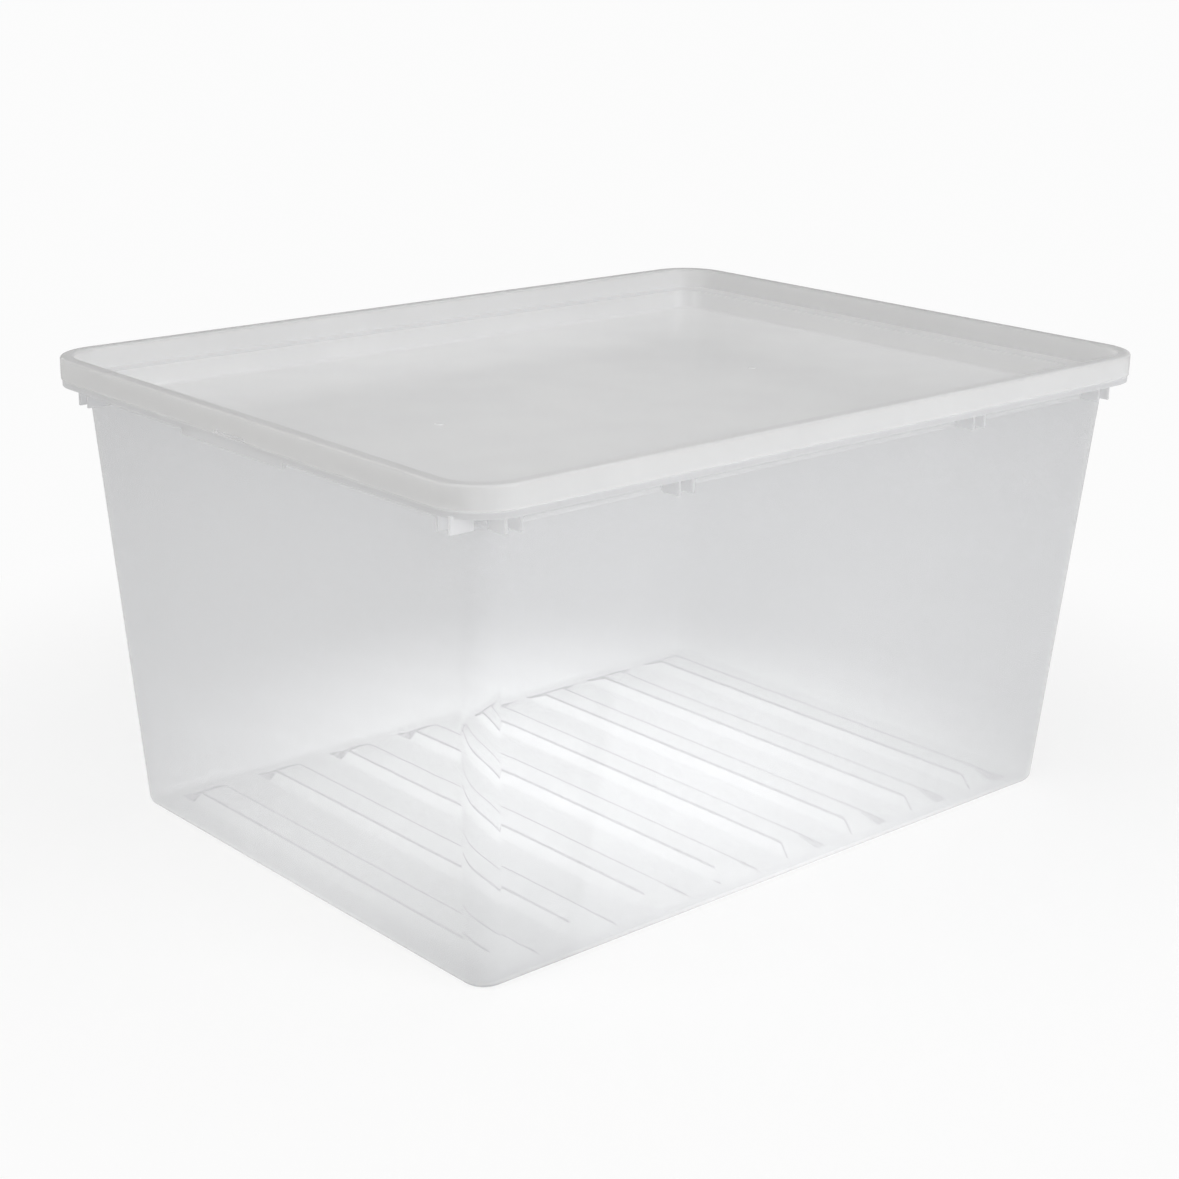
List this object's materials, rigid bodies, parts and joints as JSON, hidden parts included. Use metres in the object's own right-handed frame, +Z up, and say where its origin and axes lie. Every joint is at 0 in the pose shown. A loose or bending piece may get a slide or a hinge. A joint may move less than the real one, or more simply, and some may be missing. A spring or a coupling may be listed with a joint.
{
  "type": "storage bin",
  "caption": "Stackable clear plastic storage bin: a tapered open tub with a ribbed rim and a recessed lift-off lid that seats the base of another bin",
  "frame": {"origin": "centre of the rectangle the foot ring rests on, on the floor plane, midway between the long and the short sides", "axes": "+Z up, X along the long side, Y along the short side"},
  "size_m": [0.59, 0.451, 0.314],
  "materials": {
    "clear_tub": "satin",
    "clear_lid": "satin"
  },
  "bodies": {
    "tub": {"tub": "clear_tub"},
    "lid": {"lid": "clear_lid"}
  },
  "joints": [
    {"name": "lid_lift", "type": "slide", "parent": "tub", "child": "lid", "axis": [0, 0, 1], "range_m": [0, 0.15]}
  ]
}
